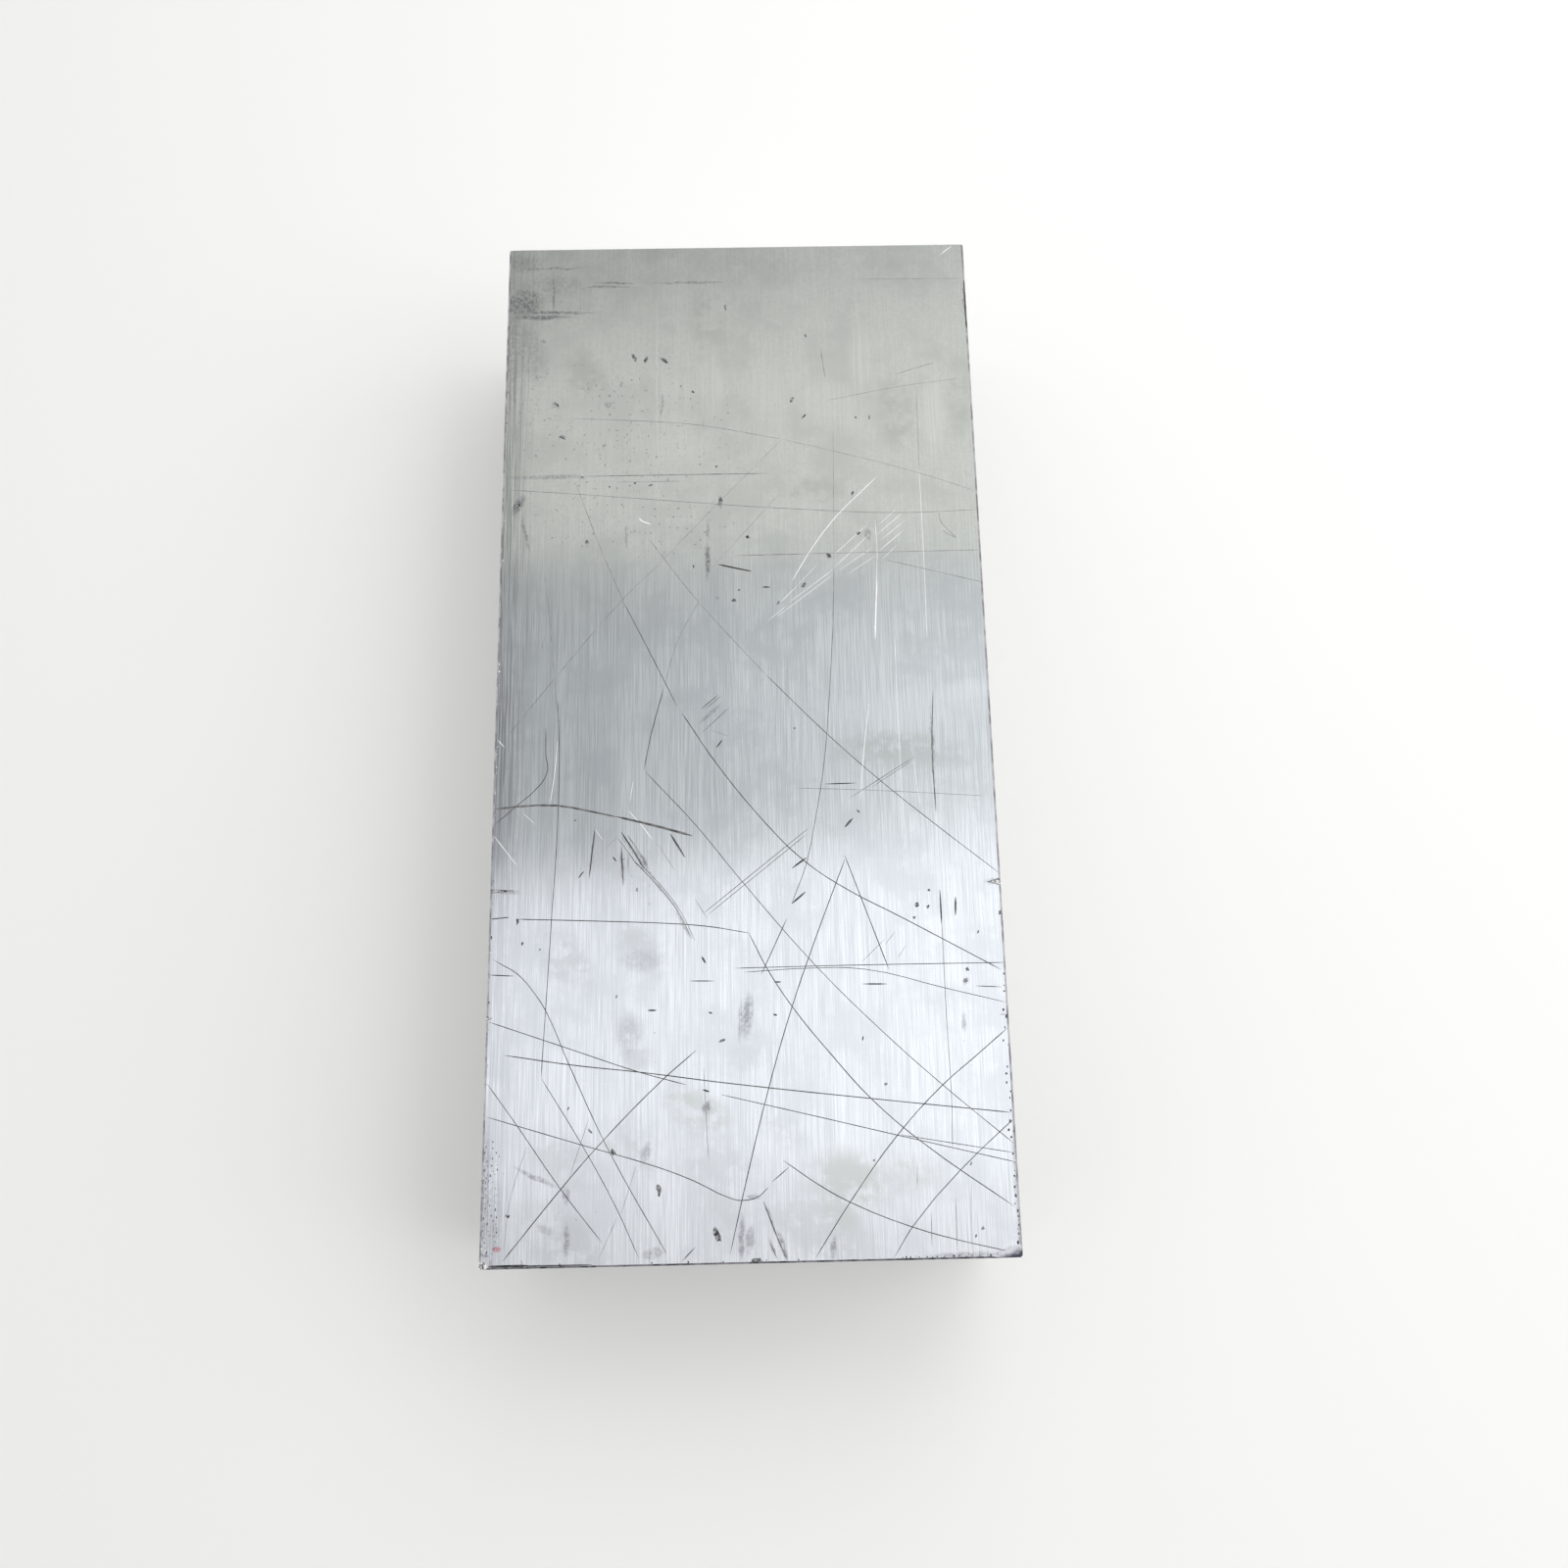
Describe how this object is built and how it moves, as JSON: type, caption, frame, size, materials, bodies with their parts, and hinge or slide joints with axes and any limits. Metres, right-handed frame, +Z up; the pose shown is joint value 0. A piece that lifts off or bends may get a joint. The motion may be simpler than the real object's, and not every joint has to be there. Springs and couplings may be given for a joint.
{
  "type": "aluminium plate",
  "caption": "Thick rectangular length of mill-finish aluminium plate with sawn ends, worn and nicked edges and a scratched top face, lying flat as raw stock.",
  "frame": {"origin": "centre of the base, on the surface that the plate lies on", "axes": "+Z up through the thickness, +Y along the grain and the plate's length towards the far sawn end, +X across the width"},
  "size_m": [0.11, 0.234, 0.05],
  "materials": {
    "plate": "mill finish with a fine lengthwise grain, scratched and lightly stained"
  },
  "bodies": {
    "root": {"plate": "plate"}
  },
  "joints": []
}
